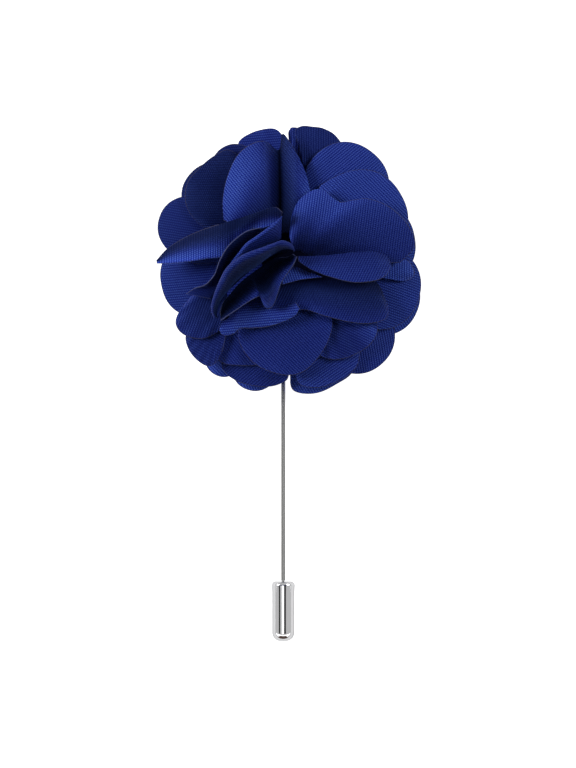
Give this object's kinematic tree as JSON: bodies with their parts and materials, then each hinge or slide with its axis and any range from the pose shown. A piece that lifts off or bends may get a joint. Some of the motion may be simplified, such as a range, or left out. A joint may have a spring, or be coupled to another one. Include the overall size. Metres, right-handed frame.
{
  "type": "flower lapel pin",
  "caption": "Folded satin flower on a round felt back, with a straight steel stem below it and a push-on cap over the needle point.",
  "frame": {"origin": "middle of the felt back's flat face, behind the flower", "axes": "+Z out of the flower's face, -Y along the stem towards the cap, +X to the right as the flower is looked at"},
  "size_m": [0.0498, 0.0971, 0.0211],
  "materials": {
    "satin": "royal blue polyester satin, fine rib, heat-cut edges",
    "felt": "dark blue felt",
    "steel": "drawn wire",
    "chrome": "polished"
  },
  "bodies": {
    "flower": {"felt_back": "felt", "pin": "steel", "felt_base": "felt", "back_petal_upper_right": "satin", "back_petal_right": "satin", "middle_petal_upper_right": "satin", "back_petal_lower_right": "satin", "middle_petal_right": "satin", "back_petal_bottom_right": "satin", "back_petal_bottom_left": "satin", "back_petal_bottom": "satin", "back_petal_left_lower": "satin", "back_petal_left": "satin", "back_petal_upper_left": "satin", "back_petal_top_left": "satin", "back_petal_top": "satin", "under_petal_top_right": "satin", "back_petal_top_right": "satin", "middle_petal_upper_left": "satin", "under_petal_bottom_right": "satin", "middle_petal_bottom_right": "satin", "middle_petal_bottom_left": "satin", "ribbed_petal_bottom_right": "satin", "shaded_petal_bottom_left": "satin", "front_petal_bottom": "satin", "ribbed_petal_lower_left": "satin", "ribbed_petal_left": "satin", "leaf_right_small": "satin", "front_petal_upper_right": "satin", "leaf_right": "satin", "leaf_lower_right": "satin", "wedge_centre": "satin", "tongue_centre": "satin", "cup_front": "satin", "cup_back": "satin", "fold_inner_left": "satin", "fold_outer_left": "satin", "flap_left": "satin", "folded_petal_top": "satin"},
    "cap": {"pin_cap": "chrome"}
  },
  "joints": [
    {"name": "cap_slide", "type": "slide", "parent": "flower", "child": "cap", "axis": [0, -1, 0], "range_m": [0, 0.012]}
  ]
}
